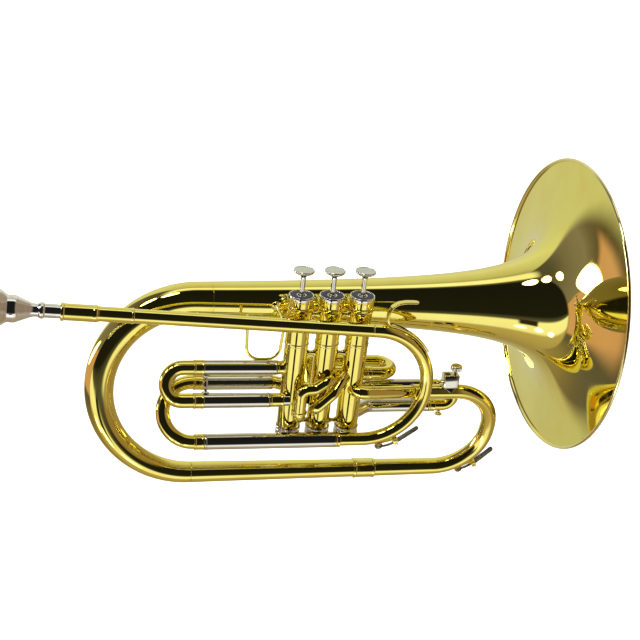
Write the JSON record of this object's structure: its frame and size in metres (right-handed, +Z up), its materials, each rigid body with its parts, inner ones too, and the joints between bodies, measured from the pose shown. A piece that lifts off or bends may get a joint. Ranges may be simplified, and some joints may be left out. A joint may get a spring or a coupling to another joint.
{
  "type": "baritone horn",
  "caption": "Bell-front marching baritone horn with piston valves, valve slides, a pull-out tuning slide, water keys, a finger hook and a removable mouthpiece.",
  "frame": {"origin": "on the second valve's axis, 66 mm below the top caps, where the hand closes round the casings", "axes": "+X towards the bell, along the bell's axis; +Z up along the valves, towards the finger buttons; +Y from the leadpipe's side to the bell's side"},
  "size_m": [0.5374, 0.28, 0.3184],
  "materials": {
    "lacquered_brass": "polished yellow brass under clear gold lacquer",
    "nickel_silver": "polished nickel silver",
    "silver_plate": "bright plated",
    "black_felt": "dense black felt",
    "steel": "bright nickel-plated steel"
  },
  "bodies": {
    "root": {"bell_flare": "lacquered_brass", "bell_rim_wire": "lacquered_brass", "bell_joint_sleeve": "lacquered_brass", "main_bow": "lacquered_brass", "bottom_branch": "lacquered_brass", "branch_sleeve": "lacquered_brass", "front_bow": "lacquered_brass", "outlet_tube": "lacquered_brass", "receiver": "lacquered_brass", "leadpipe": "lacquered_brass", "leadpipe_bow": "lacquered_brass", "tuning_outer_lower": "nickel_silver", "tuning_outer_upper": "nickel_silver", "inlet_tube": "lacquered_brass", "first_inner_upper": "nickel_silver", "first_inner_lower": "nickel_silver", "second_outer_front": "lacquered_brass", "second_outer_rear": "lacquered_brass", "third_outer_upper": "nickel_silver", "third_outer_lower": "nickel_silver", "valve_casing_1": "lacquered_brass", "valve_casing_2": "lacquered_brass", "valve_casing_3": "lacquered_brass", "top_cap_1": "silver_plate", "top_cap_2": "silver_plate", "top_cap_3": "silver_plate", "cap_felt_1": "black_felt", "cap_felt_2": "black_felt", "cap_felt_3": "black_felt", "bottom_cap_1": "silver_plate", "bottom_cap_2": "silver_plate", "bottom_cap_3": "silver_plate", "valve_spring_1": "steel", "valve_spring_2": "steel", "valve_spring_3": "steel", "crossover_front": "lacquered_brass", "crossover_rear": "lacquered_brass", "post_brace": "lacquered_brass", "outlet_brace": "lacquered_brass", "finger_hook": "lacquered_brass", "lyre_socket": "nickel_silver", "water_key_saddle_1": "lacquered_brass", "water_key_saddle_2": "lacquered_brass"},
    "mouthpiece": {"mouthpiece": "silver_plate"},
    "tuning_slide": {"tuning_slide": "lacquered_brass"},
    "first_slide": {"first_slide": "nickel_silver", "thumb_saddle": "lacquered_brass"},
    "second_slide": {"second_slide": "lacquered_brass"},
    "third_slide": {"third_slide": "lacquered_brass", "third_slide_knob": "nickel_silver"},
    "lyre_screw": {"lyre_screw": "nickel_silver"},
    "water_key_1": {"water_key_lever_1": "steel"},
    "water_key_2": {"water_key_lever_2": "steel"},
    "piston_1": {"piston_1": "nickel_silver", "finger_button_1": "silver_plate"},
    "piston_2": {"piston_2": "nickel_silver", "finger_button_2": "silver_plate"},
    "piston_3": {"piston_3": "nickel_silver", "finger_button_3": "silver_plate"}
  },
  "joints": [
    {"name": "valve_1_press", "type": "slide", "parent": "root", "child": "piston_1", "axis": [0, 0, -1], "range_m": [0, 0.016], "stiffness_N_per_m": 260, "springref_m": -0.014, "deforming": ["valve_spring_1"]},
    {"name": "valve_2_press", "type": "slide", "parent": "root", "child": "piston_2", "axis": [0, 0, -1], "range_m": [0, 0.016], "stiffness_N_per_m": 260, "springref_m": -0.014, "deforming": ["valve_spring_2"]},
    {"name": "valve_3_press", "type": "slide", "parent": "root", "child": "piston_3", "axis": [0, 0, -1], "range_m": [0, 0.016], "stiffness_N_per_m": 260, "springref_m": -0.014, "deforming": ["valve_spring_3"]},
    {"name": "tuning_slide_pull", "type": "slide", "parent": "root", "child": "tuning_slide", "axis": [-1, 0, 0], "range_m": [0, 0.04]},
    {"name": "first_slide_pull", "type": "slide", "parent": "root", "child": "first_slide", "axis": [-1, 0, 0], "range_m": [0, 0.035]},
    {"name": "second_slide_pull", "type": "slide", "parent": "root", "child": "second_slide", "axis": [1, 0, 0], "range_m": [0, 0.018]},
    {"name": "third_slide_pull", "type": "slide", "parent": "root", "child": "third_slide", "axis": [1, 0, 0], "range_m": [0, 0.03]},
    {"name": "mouthpiece_pull", "type": "slide", "parent": "root", "child": "mouthpiece", "axis": [-0.9982, 0, 0.0593], "range_m": [0, 0.024]},
    {"name": "water_key_1_open", "type": "hinge", "parent": "root", "child": "water_key_1", "pos_m": [0.0711, -0.02, -0.07357], "axis": [0, -1, 0], "range_deg": [0, 11], "stiffness_Nm_per_rad": 0.03, "springref_deg": -22.92},
    {"name": "water_key_2_open", "type": "hinge", "parent": "root", "child": "water_key_2", "pos_m": [0.17021, 0.01935, -0.12427], "axis": [0, -0.9806, -0.1959], "range_deg": [0, 11], "stiffness_Nm_per_rad": 0.03, "springref_deg": -22.92},
    {"name": "lyre_screw_turn", "type": "hinge", "parent": "root", "child": "lyre_screw", "pos_m": [0.1262, -0.0025, -0.01], "axis": [0, 0, 1], "range_deg": [-180, 180]}
  ]
}
